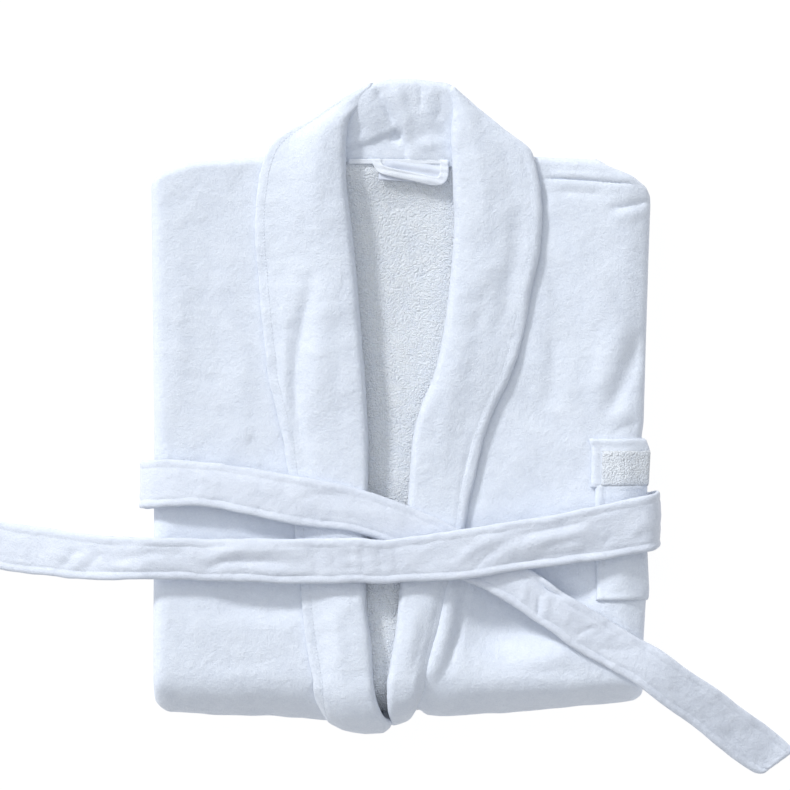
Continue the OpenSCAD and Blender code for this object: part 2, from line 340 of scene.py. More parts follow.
def fabric(name, base, deep, grain, grain_depth, nap_depth=0.0005, cloud_depth=0.0022, sheen=0.3,
           loops=False):
    """Cotton cloth: pile or loops as fine relief, cloudy brushed nap, and a soft sheen.

    The grain is in features per metre and the depths are in metres.
    """
    material = bpy.data.materials.new(name)
    material.use_nodes = True
    tree = material.node_tree
    link = tree.links.new
    shader = tree.nodes["Principled BSDF"]
    shader.inputs["Roughness"].default_value = 0.92
    shader.inputs["Specular IOR Level"].default_value = 0.2
    shader.inputs["Sheen Weight"].default_value = sheen
    shader.inputs["Sheen Roughness"].default_value = 0.45
    shader.inputs["Sheen Tint"].default_value = (0.95, 0.97, 1.0, 1.0)
    where = node_of(tree, "ShaderNodeTexCoord")
    cloud = node_of(tree, "ShaderNodeTexNoise", Scale=40.0, Detail=4.0, Roughness=0.6)
    nap = node_of(tree, "ShaderNodeTexNoise", Scale=125.0, Detail=4.0, Roughness=0.6)
    pile = node_of(tree, "ShaderNodeTexNoise", Scale=grain, Detail=4.0, Roughness=0.75)
    for texture in (cloud, nap, pile):
        link(where.outputs["Object"], texture.inputs["Vector"])
    height = pile.outputs["Fac"]
    if loops:
        cells = node_of(tree, "ShaderNodeTexVoronoi", Scale=grain * 0.8, Randomness=1.0)
        link(where.outputs["Object"], cells.inputs["Vector"])
        curled = node_of(tree, "ShaderNodeMath", operation="SUBTRACT")
        link(pile.outputs["Fac"], curled.inputs[0])
        link(cells.outputs["Distance"], curled.inputs[1])
        height = curled.outputs[0]
    normal = None
    for source, depth in ((cloud.outputs["Fac"], cloud_depth), (nap.outputs["Fac"], nap_depth),
                          (height, grain_depth)):
        relief = node_of(tree, "ShaderNodeBump", Strength=1.0, Distance=depth)
        link(source, relief.inputs["Height"])
        if normal is not None:
            link(normal, relief.inputs["Normal"])
        normal = relief.outputs["Normal"]
    link(normal, shader.inputs["Normal"])
    coarse = node_of(tree, "ShaderNodeMix", data_type="FLOAT", Factor=0.5)
    link(cloud.outputs["Fac"], coarse.inputs[2])
    link(nap.outputs["Fac"], coarse.inputs[3])
    both = node_of(tree, "ShaderNodeMix", data_type="FLOAT", Factor=0.5)
    link(coarse.outputs[0], both.inputs[2])
    link(pile.outputs["Fac"], both.inputs[3])
    tone = node_of(tree, "ShaderNodeMapRange")
    tone.inputs["From Min"].default_value = 0.36
    tone.inputs["From Max"].default_value = 0.64
    link(both.outputs[0], tone.inputs["Value"])
    colour = node_of(tree, "ShaderNodeMix", data_type="RGBA")
    colour.inputs[6].default_value = (*deep, 1)
    colour.inputs[7].default_value = (*base, 1)
    link(tone.outputs["Result"], colour.inputs["Factor"])
    link(colour.outputs[2], shader.inputs["Base Color"])
    return material


VELOUR = fabric("velour", (0.86, 0.905, 0.985), (0.755, 0.805, 0.905), 520, 0.0007)
COLLAR = fabric("collar_velour", (0.86, 0.905, 0.985), (0.755, 0.805, 0.905), 500, 0.0007)
# The belt is the robe's own velour; its colours are painted a little darker than VELOUR's as shade.
BELT_SHADED = fabric("belt_velour_painted_shade", (0.83, 0.87, 0.955), (0.735, 0.78, 0.88), 540, 0.0007)
TERRY = fabric("terry", (0.95, 0.975, 1.0), (0.84, 0.89, 0.98), 640, 0.0014, nap_depth=0.0006, sheen=0.7,
               loops=True)
THREAD = fabric("thread", (0.83, 0.87, 0.94), (0.78, 0.82, 0.9), 2500, 0.0002, 0.0002, 0.0002)
TAPE = fabric("tape", (0.89, 0.92, 0.97), (0.8, 0.84, 0.92), 700, 0.0006, 0.0006, 0.001, sheen=0.2)
LABEL = fabric("label_satin", (0.79, 0.83, 0.92), (0.7, 0.74, 0.84), 900, 0.0003, 0.0004, 0.0008,
               sheen=0.15)


# ---------- Shape of the folded bundle ----------

NOSE = [(-252, -262), (-247, -268), (-234, -279), (-150, -281), (-80, -283), (0, -282),
        (70, -279), (143, -276), (194, -270), (235, -264), (252, -256)]
RIGHT_EDGE = [(300, 251), (236, 252), (185, 250), (50, 246), (17, 245), (3, 243), (-10, 248),
              (-47, 246), (-110, 246), (-150, 248), (-201, 245), (-263, 245)]
LEFT_EDGE = [(300, 250), (250, 250), (0, 247), (-263, 248)]

# Path of the outermost layer round the bottom fold, as (y, z)
FOLD_OUT = curve([(-262, 0), (-271, 0.3), (-277, 3.2), (-276.8, 8), (-270.5, 19), (-261, 31),
                  (-251, 39.5), (-240, 44), (-228, 45), (-218, 45)], n=40)[:-4]
FOLD_CORE = np.stack([np.linspace(FOLD_START, FOLD_OUT[-1, 0], len(FOLD_OUT)),
                      np.full(len(FOLD_OUT), MID)], axis=1)


def in_plan(p):
    """Gives the square bundle its real outline."""
    x, y, z = p[..., 0], p[..., 1], p[..., 2]
    right = table(y, RIGHT_EDGE) / HALF_W
    left = table(y, LEFT_EDGE) / HALF_W
    grow = np.where(x > 0, right, left)
    near_side = smoothstep((np.abs(x) - 120) / 100)
    x2 = x * lerp(1, grow, near_side)
    depth = (table(x2, NOSE) - FOLD_Y) / (NOSE_Y - FOLD_Y)
    y2 = np.where(y < FOLD_Y, FOLD_Y + (y - FOLD_Y) * depth, y)
    # The lower leaves' corners stay inside the rounded shoulders above them
    past = np.maximum(0, HEM_Y + 2 - shoulder(x))
    y2 = y2 - past * smoothstep((MID - z) / 4) * smoothstep((y - HEM_Y + 60) / 60)
    return np.stack([x2, y2, z], axis=-1)


def shoulder(x):
    """Y of the shoulder end across the bundle."""
    return table(x, [(-250, 246), (-247, 258), (-240, 266), (-212, 276), (-150, 281), (-100, 282),
                     (130, 282), (197, 279.5), (207, 273), (230, 264), (244, 253), (250, 240)])


# Hollows under the belt, as centre, half sizes and depth
DIPS = [
    ((114, -174), (46, 42), 16.0),
    ((-130, -160), (44, 22), 5.0),
    ((174, -144), (30, 24), 8.0),
]

# Folds of the fronts, as line, height and width
PANEL_FOLDS = [
    # left front
    ([(-232, 66), (-200, 60), (-165, 62)], -0.8, 4),
    ([(-170, 230), (-176, 150), (-160, 70), (-165, -10)], 1.8, 14),
    ([(-225, 215), (-222, 120), (-228, 20)], 1.4, 9),
    ([(-187, 262), (-178, 150), (-184, 20)], -1.5, 26),
    ([(-156, 8), (-138, -10), (-120, -36)], -2.6, 8),
    ([(-172, 235), (-158, 262), (-150, 280)], -1.2, 9),
    ([(-150, 20), (-180, -20)], 1.1, 8),
    ([(-240, -170), (-190, -190), (-130, -178), (-100, -190)], 1.1, 12),
    ([(-225, -215), (-160, -225), (-100, -215)], -1.0, 9),
    # right front, its shoulder seam first
    ([(128, 262), (170, 261), (210, 258), (250, 256)], -3.0, 1.7),
    ([(128, 266), (170, 266), (210, 263), (250, 260)], 1.0, 2.4),
    ([(145, 247), (175, 248), (215, 244)], -1.8, 5),
    ([(148, 232), (172, 190), (205, 140), (228, 90)], 2.6, 13),
    ([(165, 245), (200, 215), (236, 196)], 1.3, 8),
    ([(206, 229), (226, 234), (252, 241)], -3.2, 3.4),
    ([(200, 220), (226, 225), (250, 232)], 1.8, 5),
    ([(246, 120), (234, 78), (220, 38), (212, 14)], -6.0, 10),
    ([(226, 130), (208, 75), (194, 20)], 2.6, 12),
    ([(150, 132), (153, 80), (150, 14)], -2.6, 13),
    ([(122, 225), (136, 240), (152, 244)], -1.6, 9),
    ([(142, 190), (160, 140), (196, 88), (222, 40)], -2.2, 12),
    ([(120, 105), (150, 70), (190, 30)], 2.2, 12),
    ([(112, 50), (140, 20), (190, -2)], -2.0, 10),
    ([(100, 0), (130, -30), (175, -40)], 1.0, 9),
    ([(213, 7), (230, 12), (246, 16)], -2.2, 4),
    ([(205, 22), (228, 26), (246, 34)], 1.4, 6),
    ([(57, -120), (51, -195), (39, -262)], 6.0, 7),
    ([(69, -120), (63, -200), (50, -262)], -3.0, 3.2),
    ([(80, -206), (140, -214), (215, -220)], 2.6, 13),
    ([(95, -225), (150, -232), (200, -224)], -1.0, 8),
]


def panel_relief(x, y):
    """Height of the soft waves in the top of the bundle."""
    fine = lerp(0.35, 1, smoothstep((x + 60) / 60))
    z = 1.6 * noise(x, y, 95, 3) + fine * waves(x, y, (1.0, 42, 5), (0.45, 21, 6), (0.22, 11, 8))
    z = z + ridges(x, y, PANEL_FOLDS)
    return z - 9 * np.square(smoothstep((x - 214) / 38)) - 5 * np.square(smoothstep((-x - 232) / 18))


def hollows(x, y):
    """Depth of the flat-bottomed hollows, which all the layers on top share."""
    z = np.zeros(np.shape(x))
    for (cx, cy), (wide, tall), depth in DIPS:
        away = np.square((x - cx) / wide) + np.square((y - cy) / tall)
        z = z - depth * bump(away)
    return z


def top_relief(m, r):
    """Relief of a layer that lies r above the middle of the bundle."""
    x, y = m[..., 0], m[..., 1]
    return panel_relief(x, y) * r / MID + hollows(x, y) * smoothstep(r / 14)


def sag(x, y):
    """The back panel drops in the middle, where nothing lies under it."""
    across = np.clip(1 - np.square((x - 4) / 92), 0, 1)
    deep = lerp(3.0, 8.5, smoothstep((y + 170) / 90))
    return deep * across * smoothstep((272 - y) / 40) * smoothstep((y + 262) / 40)


def back_run(x):
    """Edges of the belt's run across the underside."""
    t = (x + 258) / 516
    return -22 - 31 * t, -70 - 39 * t


def belt_lift(x, y):
    """The groove that the belt presses into the underside."""
    top, bottom = back_run(x)
    return 3.3 * smoothstep((top + 4 - y) / 5) * smoothstep((y - bottom + 4) / 5)


PANEL_STEP = 4.5


def folded_panel(section, top_of):
    """Sweeps a side-folded section (x, r) round the bottom fold of the bundle, up to top_of."""
    x, r = section[:, 0], section[:, 1]
    low = np.arange(HEM_START, FOLD_START, -PANEL_STEP)
    rows = [np.stack([x, np.full_like(x, y), MID - r], axis=1) for y in low]
    for q, c in zip(FOLD_OUT, FOLD_CORE):
        y = lerp(c[0], q[0], r / MID)
        z = lerp(c[1], q[1], r / MID)
        rows.append(np.stack([x, y, z], axis=1))
    y0 = FOLD_OUT[-1, 0]
    length = SHOULDER_Y - y0
    # The last 36 mm before the shoulder have finer rows, and then the end curls down
    fine = 1 - 36 / length
    shares = np.concatenate([np.linspace(0, fine, int(length / PANEL_STEP))[1:],
                             np.linspace(fine, 1, 29)[1:]])
    curl = 5.5 * np.clip(r / 12, 0.1, 1)
    for t in shares:
        rows.append(np.stack([x, lerp(y0, top_of - curl, t), MID + r], axis=1))
    for a in np.linspace(0, 2.1, 9)[1:]:
        rows.append(np.stack([x, top_of - curl * (1 - math.sin(a)),
                              MID + r - curl * (1 - math.cos(a))], axis=1))
    m = np.array(rows)
    upper = smoothstep((m[..., 1] - FOLD_Y + 14) / 24) * (m[..., 2] > MID)
    m[..., 2] += upper * top_relief(m, r)
    at_fold = smoothstep((-238 - m[..., 1]) / 20)
    m[..., 1] += at_fold * waves(m[..., 0], m[..., 2], (2.6, 58, 14), (1.3, 21, 15))
    under = m[..., 2] <= MID
    m[..., 2] += np.where(under & (m[..., 2] > 4), 0.4 * noise(m[..., 0], m[..., 1], 50, 12), 0)
    m[..., 2] += under * belt_lift(m[..., 0], m[..., 1]) * (1 - smoothstep((m[..., 2] - 8) / 6))
    return in_plan(m)


def side_section(x_in, r_top, r_turn, x_side, x_turn=TURN_X, step=4.0):
    """From an inner edge out over the top, round the side and back in underneath."""
    mid, radius = (r_top + r_turn) / 2, (r_top - r_turn) / 2
    top = np.arange(x_in, x_side - radius, step)
    arc = np.linspace(math.pi / 2, -math.pi / 2, 13)
    back = np.arange(x_side - radius - 4, x_turn, -9.0)
    x = np.concatenate([top, x_side - radius + radius * np.cos(arc), back])
    r = np.concatenate([np.full(len(top), r_top), mid + radius * np.sin(arc),
                        np.full(len(back), r_turn)])
    return np.stack([x, r], axis=1)


def mirrored(section):
    """A side section for the left."""
    return section * (-1, 1)


def both_sides(half):
    """A section across the whole bundle from its right half."""
    return np.vstack([mirrored(half)[:0:-1], half])


# Lapel edges in plan, from the top of the collar to the bottom fold
LAPEL_PAIRS = {-1: [
    ((-27, 357), (-29, 353)), ((-62, 338), (-41, 337)), ((-93, 318), (-52, 322)),
    ((-123, 301), (-55, 305)), ((-136, 283), (-56, 285)), ((-143, 250), (-55, 250)),
    ((-145, 210), (-50, 210)), ((-141, 160), (-45, 160)), ((-137, 109), (-41, 109)),
    ((-130, 58), (-37, 58)), ((-117, 2), (-34, 2)), ((-111, -40), (-34, -40)),
    ((-105, -90), (-35, -90)), ((-98, -160), (-36, -160)), ((-93, -205), (-31, -203)),
    ((-86, -238), (-29, -238)),
], 1: [
    ((52, 354), (50, 351)), ((77, 332), (55, 334)), ((95, 317), (54, 319)),
    ((111, 304), (53, 307)), ((124, 295), (53, 297)), ((132, 283), (54, 284)),
    ((139, 248), (55, 250)), ((141, 215), (56, 215)), ((137, 180), (54, 180)),
    ((131, 150), (51, 150)), ((120, 97), (44, 98)), ((108, 60), (35, 62)),
    ((94, 32), (23, 33)), ((83, 2), (15, 2)), ((75, -32), (12, -32)),
    ((67, -72), (9, -72)), ((57, -110), (6, -110)), ((47, -148), (2, -148)),
    ((39, -188), (-2, -188)), ((29, -225), (-8, -225)), ((25, -242), (-11, -242)),
]}
ROLL = {side: [roll for _, roll in pairs] for side, pairs in LAPEL_PAIRS.items()}

# Per side: where the section starts, how far the upper leaf is moved to follow the lapel, and the
# lower leaf's edge at the bottom fold and away from it
FRONT_EDGES = {-1: (34, 120, -92.0, -31.0), 1: (24, 130, 27.0, 98.5)}
LOW_REACH = 130


def make_front_panel(side):
    name = "front_panel_" + WORDS[side]
    start, reach, fold_edge, low_edge = FRONT_EDGES[side]
    section = side_section(start, MID - CLOTH / 2, FRONT_TURN, HALF_W - CLOTH / 2)
    if side < 0:
        section = mirrored(section)
    m = folded_panel(section, shoulder(section[:, 0]))
    # The inner edge of the upper leaf lies under the lapel
    edge = table(m[..., 1], [(y, x) for x, y in ROLL[side]])
    on_top = smoothstep((m[..., 2] - 8) / 25) * (np.abs(m[..., 0]) < TURN_X + 60)
    target = np.minimum(edge - 18, -start) if side < 0 else edge + 18
    share = np.clip((np.abs(m[..., 0]) - start) / reach, 0, 1)
    m[..., 0] = lerp(m[..., 0], lerp(target, side * (start + reach), share), on_top * (share < 1))
    flat = 1 - smoothstep((m[..., 2] - 1) / 8)
    aim = lerp(fold_edge, low_edge, smoothstep((m[..., 1] + 235) / 85))
    share = np.clip((np.abs(m[..., 0]) - start) / LOW_REACH, 0, 1)
    moved = lerp(aim, side * (start + LOW_REACH), share)
    m[..., 0] = lerp(m[..., 0], moved, flat * (share < 1) * (m[..., 1] < HEM_Y + 9))
    cloth(name + "_cloth", m, CLOTH, "robe", [VELOUR, TERRY], [name], flip=side > 0)


for side in WORDS:
    make_front_panel(side)


def make_back_panel():
    r_top = MID - 5 - CLOTH / 2
    section = both_sides(side_section(0, r_top, BACK_TURN, HALF_W - 5.4 - CLOTH / 2))
    m = folded_panel(section, shoulder(section[:, 0]) - 1.5)
    on_top = (m[..., 2] > MID) & (section[:, 1] > r_top - 1)
    m[..., 2] -= np.where(on_top, sag(m[..., 0], m[..., 1]), 0)
    cloth("back_panel_cloth", m, CLOTH, "robe", [TERRY, VELOUR], ["back_panel"], flip=True)


make_back_panel()


# ---------- Lapels ----------

LAPEL_MID = LAPEL_TOP - CLOTH / 2 + 0.1
# How far the roll edge turns in underneath
TUCK = 15.0
# Where the lapels start to turn down, and how far the turn reaches
LAPEL_TURN_Y = -238
LAPEL_NOSE_Y = -294
LAPEL_NOSE = [(-100, -270), (-84, -272), (-71, -288), (-58, -293), (-35, -296), (-17, -295), (-9, -288),
              (-1, -286), (7, -283), (18, -274), (26, -272), (60, -272)]
LAPEL_FOLD = curve([(-228, 0), (-242, 0), (-256, -1.8), (-268, -6), (-280, -15), (-290, -29), (-294, -40),
                    (-293, -46), (-287, -49.4), (-276, -50), (-258, -50)], step=3.2)[4:]
NOSE_EDGES = {
    -1: ([(0, -86), (20, -86), (40, -84), (62, -80), (110, -84)],
         [(0, -29), (20, -26), (40, -20), (62, -10), (110, -14)]),
    1: ([(0, 25), (20, 23), (40, 20), (62, 16), (110, 22)],
        [(0, -11), (20, -11), (40, -10), (62, -7), (110, -8)]),
}


def lapel_nose(p):
    """Gives the lapels' bottom fold its real outline."""
    x, y, z = p[..., 0], p[..., 1], p[..., 2]
    depth = (table(x, LAPEL_NOSE) - LAPEL_TURN_Y) / (LAPEL_NOSE_Y - LAPEL_TURN_Y)
    return np.stack([x, np.where(y < LAPEL_TURN_Y, LAPEL_TURN_Y + (y - LAPEL_TURN_Y) * depth, y), z],
                    axis=-1)


def lapel_spine(side):
    """Edge lines of a lapel with a base height, from the crown round the fold.

    Returns free edge, roll edge, height of the base, and how far each station is past the front.
    """
    line = curve([(*a, *b) for a, b in LAPEL_PAIRS[side]], step=4.76)
    free, roll = line[:, :2].copy(), line[:, 2:]
    free[:, 0] += waves(free[:, 1], 0, (0.9, 31, 45 + side), (0.5, 12, 48 + side))
    along = distance_along(LAPEL_FOLD)
    keep = (free[:, 1] + roll[:, 1]) / 2 > LAPEL_FOLD[0, 0] + 3
    free, roll = (np.vstack([edge[keep], np.stack([np.interp(along, *zip(*nose)), LAPEL_FOLD[:, 0]], axis=1)])
                  for edge, nose in zip((free, roll), NOSE_EDGES[side]))
    base = np.concatenate([np.zeros(keep.sum()), LAPEL_FOLD[:, 1]])
    past = np.concatenate([np.zeros(keep.sum()), along])
    return free, roll, base, past


def crown(side, y):
    """How high the lapel bulges near its roll edge."""
    if side < 0:
        return table(y, [(-240, 2.0), (-200, 3.5), (-165, 2.5), (-140, 0.2), (-20, 0.2), (20, 3.0),
                         (90, 6.0), (180, 7.5), (270, 8.5), (310, 7.5), (335, 2.5), (355, 0.5)])
    return table(y, [(-240, 1.5), (-200, 3.0), (-165, 2.5), (-140, 0.2), (-50, 0.2), (0, 3.0),
                     (80, 6.0), (180, 6.5), (270, 6.5), (305, 6.0), (335, 4.0), (355, 1.0)])


EDGE_ZONE = np.array([0, 0.4, 1.0, 1.8, 3.0, 4.6, 6.2, 7.6, 8.6, 9.6, 11.0, 13.0, 16.0])


def edge_profile(a, side, y, scale):
    """Height of the turned, stitched free edge below the lapel's body."""
    a = a / scale
    if side < 0:
        # The left edge lies almost flush with the front, and its stitching only shows low down
        turn, slope, reach = 2.2, 3.2, 36.0
        ditch = 0.12 + 0.3 * smoothstep((150 - y) / 80)
    else:
        # The right edge stands clear of the front, and rolls over below the belt
        below = smoothstep((-120 - y) / 30)
        turn, slope, reach = 4.0, lerp(0.6, 5.5, below), 21.0
        ditch = lerp(0.34, 0.15, below)
    corner = 1 - np.sqrt(np.clip(1 - np.square(1 - np.clip(a / 5.4, 0, 1)), 0, 1))
    return -turn * corner - slope * (1 - smoothstep(a / reach)) - ditch * bump((a - 9.6) / 1.9)


BODY_COLUMNS = 20


def lapel_grid(side):
    """Middle of an upper collar: free edge, body, roll edge and tuck at each station."""
    free, roll, base, past = lapel_spine(side)
    rows = []
    for i in range(len(free)):
        f, r = free[i], roll[i]
        width = max(np.linalg.norm(r - f), 1.0)
        u = (r - f) / width
        y = f[1]
        on_front = 1 - smoothstep(past[i] / 40)
        top = crown(side, y) * on_front
        curl = lerp(0.35, 1.0, 1 - smoothstep((past[i] - 10) / 60))
        near_crown = np.clip((348 - y) / 34, 0.12, 1)
        flow = smoothstep((y - 318) / 18)
        radius = (9.0 + top) / 2 * curl * near_crown
        scale = min(1, width / 62)
        body = np.linspace(EDGE_ZONE[-1] * scale, width - radius, BODY_COLUMNS + 1)[1:]
        a = np.concatenate([EDGE_ZONE * scale, body])
        w = a / width
        rise = top * smoothstep((w - 0.12) / 0.62) * (1 - 0.25 * smoothstep((w - 0.82) / 0.18))
        rise = rise - 2.4 * flow * smoothstep((w - 0.1) / 0.9)
        h = edge_profile(a, side, y, scale) * lerp(1, 0.5, flow) + rise
        turn = np.linspace(0, math.pi, 12)[1:]
        arc_a = width - radius + radius * np.sin(turn)
        arc_h = h[-1] - radius * (1 - np.cos(turn))
        tuck = np.array([0.25, 0.6, 1.0]) * TUCK * curl * min(1, width / 60)
        a = np.concatenate([a, arc_a, arc_a[-1] - tuck])
        h = np.concatenate([h, arc_h, arc_h[-1] + 0 * tuck])
        rows.append(np.stack([f[0] + u[0] * a, f[1] + u[1] * a, h], axis=1))
    m = np.array(rows)
    # The base turns with the fold, so heights are laid along its normal
    tangent = unit(np.gradient(np.stack([(free[:, 1] + roll[:, 1]) / 2, base], axis=1), axis=0))
    normal_y = np.where(past > 0, tangent[:, 1], 0.0)
    normal_z = np.where(past > 0, -tangent[:, 0], 1.0)
    h = m[..., 2].copy()
    m[..., 1] += h * normal_y[:, None]
    m[..., 2] = LAPEL_MID + base[:, None] + h * normal_z[:, None]
    return lapel_nose(m), past


LAPEL_FOLDS = {
    -1: [
        ([(-62, 330), (-78, 290), (-84, 240), (-80, 190)], 1.0, 9),
        ([(-100, 312), (-108, 280), (-112, 220)], -1.0, 9),
        ([(-80, 190), (-92, 140), (-101, 90), (-104, 50), (-100, 5), (-90, -35)], -4.2, 6.5),
        ([(-66, 175), (-76, 120), (-84, 60), (-80, 10)], 1.8, 10),
        ([(-88, 139), (-72, 138), (-52, 140)], -0.8, 1.5),
        ([(-120, 160), (-115, 110), (-113, 50), (-106, 10)], 1.6, 5),
        ([(-58, 100), (-60, 50), (-55, 0)], -0.7, 9),
        ([(-120, 20), (-108, -10), (-100, -24)], 1.0, 5),
        ([(-90, -160), (-80, -200), (-72, -250)], -1.0, 6),
        ([(-60, -160), (-62, -200), (-56, -250)], 1.2, 8),
    ],
    1: [
        ([(70, 325), (76, 290), (82, 250), (84, 200)], 1.1, 8),
        ([(95, 300), (108, 270), (112, 225)], -1.0, 8),
        ([(128, 270), (133, 220), (126, 160), (108, 96)], 1.3, 6),
        ([(112, 262), (116, 210), (108, 150), (92, 90)], -1.5, 8),
        ([(66, 150), (76, 125), (70, 100)], -1.6, 9),
        ([(82, 190), (84, 130), (72, 70), (56, 20)], -1.0, 9),
        ([(74, 15), (68, -15), (60, -50), (57, -85)], -1.8, 2.6),
        ([(84, 8), (74, -20), (66, -60)], -1.2, 2.2),
        ([(50, 60), (44, 20), (36, -30)], 1.0, 8),
        ([(38, -150), (26, -190), (16, -240)], -1.1, 6),
        ([(16, -150), (12, -190), (4, -240)], 1.4, 7),
    ],
}


def lapel_relief(side, m, past):
    x, y = m[..., 0], m[..., 1]
    z = waves(x, y, (1.1, 60, 21 + side), (0.75, 28, 31 + side), (0.4, 14, 37), (0.2, 8, 41))
    z = z + ridges(x, y, LAPEL_FOLDS[side])
    calm = 1 - 0.85 * bump((y + 85) / 70)
    return z * calm * (1 - smoothstep(past / 50))[:, None]


def make_upper_collar(side):
    m, past = lapel_grid(side)
    columns = m.shape[1]
    share = np.ones(columns)
    share[:6] = np.linspace(0.2, 1, 6)
    share[-8:] = np.linspace(0.8, 0, 8)
    m[..., 2] += lapel_relief(side, m, past) * share[None]
    thick = np.interp(np.arange(columns), [0, 8, 20], [2.8, 3.4, CLOTH]) * np.ones((len(m), 1))
    word = WORDS[side]
    piece, face = cloth("upper_collar_" + word + "_cloth", m, thick, None, [COLLAR],
                        ["upper_collar_" + word, "upper_leaf_" + word], flip=side > 0)
    keep = past < 70
    rows = [tuple(line[keep][4:] for line in row_on(face, 8.0))]
    return piece, stitches("collar_stitches_" + word, rows, 0.1)


def make_under_collar(side):
    free, roll, base, past = lapel_spine(side)
    keep = (past == 0) & (free[:, 1] > -226)
    free, roll = free[keep], roll[keep]
    width = np.linalg.norm(roll - free, axis=1)
    inset = np.minimum(2.2, width * 0.2)
    share = np.linspace(0, 1, 26)
    a = inset[:, None] + (width - inset - np.minimum(9, width * 0.3))[:, None] * share[None]
    u = (roll - free) / width[:, None]
    inboard = smoothstep(a / 30)
    m = np.stack([free[:, :1] + u[:, :1] * a, free[:, 1:] + u[:, 1:] * a, TOP + lerp(1.5, 2.4, inboard)],
                 axis=-1)
    m[..., 2] += 0.12 * noise(m[..., 0], m[..., 1], 20, 61)
    word = WORDS[side]
    return cloth("under_collar_" + word + "_cloth", m, lerp(2.4, 3.9, inboard), None, [VELOUR],
                 ["under_collar_" + word, "under_leaf_" + word], flip=side > 0)[0]


def blend_leaf(pieces):
    """Bakes each piece's placement into its mesh."""
    for piece in pieces:
        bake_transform(piece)


lapels = {side: (*make_upper_collar(side), make_under_collar(side)) for side in WORDS}
for side in WORDS:
    blend_leaf(lapels[side])


# ---------- Front bands on the underside ----------

# Edges of each band, as (y, x of the free edge, x of the roll edge)
BAND_EDGES = {
    -1: [(-266, -82, -13), (-230, -86, -22), (-190, -58, 6), (-150, -30, 33.4), (262, -30, 33.4)],
    1: [(-266, 22, -8), (-230, 44, -8), (-190, 72, 13), (-150, 98, 34.2), (262, 98, 34.2)],
}


def make_band(side):
    y = np.arange(HEM_Y, -266, -6.0)
    f, r = (table(y, [(edge[0], edge[k]) for edge in BAND_EDGES[side]]) for k in (1, 2))
    share = np.linspace(0, 1, 22)
    x = f[:, None] + (r - f)[:, None] * share[None]
    a = np.abs(r - f)[:, None] * share[None]
    y = np.broadcast_to(y[:, None], x.shape)
    z = 2.3 + 0.25 * noise(x, y, 30, 71) + 0.5 * bump((a - 9) / 1.6) + belt_lift(x, y)
    cloth("front_band_" + WORDS[side], np.stack([x, y, z], axis=-1), 4.2, "robe", [COLLAR],
          flip=side > 0)


for side in WORDS:
    make_band(side)


# ---------- Collar at the back of the neck ----------

CROWN_LINE = [(-136, 283), (-123, 301), (-93, 318), (-62, 338), (-27, 357), (3, 361), (36, 358),
              (52, 354), (77, 332), (95, 317), (124, 295), (132, 283)]


def crown_y(x):
    """Y of the collar's outer edge behind the neck."""
    line = curve(CROWN_LINE, step=3)
    return np.interp(x, line[:, 0], line[:, 1])


NECK_FOLDS = [
    ([(-27, 362), (-21, 345), (-12, 328), (-2, 306)], -3.0, 3.6),
    ([(-38, 348), (-32, 336), (-24, 324), (-16, 314)], 1.0, 8),
    ([(-12, 361), (-3, 344), (4, 324), (8, 296)], 2.4, 7),
    ([(19, 358), (21, 343), (21, 328)], -1.5, 2.6),
    ([(30, 360), (31, 338), (30, 314)], 1.0, 7),
    ([(-10, 309), (-3, 305), (5, 302)], -4.0, 7),
    ([(39, 354), (40, 336), (38, 316)], -0.8, 4),
    ([(8, 290), (24, 295), (40, 295), (54, 290)], 2.0, 7),
]
# Below this line the lower left of the stand lies a little deeper
NECK_STEP = [(-60, 289), (-30, 299), (-6, 309), (4, 306), (14, 280)]


def make_stand():
    x = np.linspace(-58, 59, 70)
    top = crown_y(x) - 1.2
    share = np.linspace(0, 1, 40)
    radius = 6.0
    turn = np.linspace(0, math.pi, 12)[1:]
    rows = []
    for xi, yi in zip(x, top):
        y = lerp(273.0, yi - radius, share)
        z = 40.6 + 2.6 * smoothstep((y - 274) / 12) + 8.8 * smoothstep((y - 288) / 60)
        ya = yi - radius + radius * np.sin(turn)
        za = z[-1] - radius * (1 - np.cos(turn))
        yy = np.concatenate([y, ya, ya[-1] - np.array([3.0, 8.0])])
        zz = np.concatenate([z, za, [za[-1], za[-1]]])
        rows.append(np.stack([np.full_like(yy, xi), yy, zz], axis=1))
    m = np.array(rows)
    x, y = m[..., 0], m[..., 1]
    relief = waves(x, y, (0.6, 14, 81), (0.25, 6, 83)) + ridges(x, y, NECK_FOLDS)
    relief = relief - 3.6 * smoothstep((table(x, NECK_STEP) + 5 - y) / 9) * (1 - smoothstep((x - 4) / 8))
    left, right = (table(y, [(v, u) for u, v in ROLL[side]]) for side in WORDS)
    under_lapel = 1 - smoothstep((x - left) / 6) * smoothstep((right - x) / 6)
    under_lapel = under_lapel * (1 - smoothstep((y - 314) / 16))
    sheet_top = np.ones(m.shape[1])
    sheet_top[-len(turn) - 2:] = np.linspace(1, 0, len(turn) + 2)
    below = np.minimum(m[..., 2] + relief, 47.3)
    m[..., 2] = lerp(m[..., 2] + relief * sheet_top, below, under_lapel * (sheet_top > 0.9))
    cloth("collar_stand_cloth", m, 3.4, "robe", [COLLAR], ["collar_back_stand"])


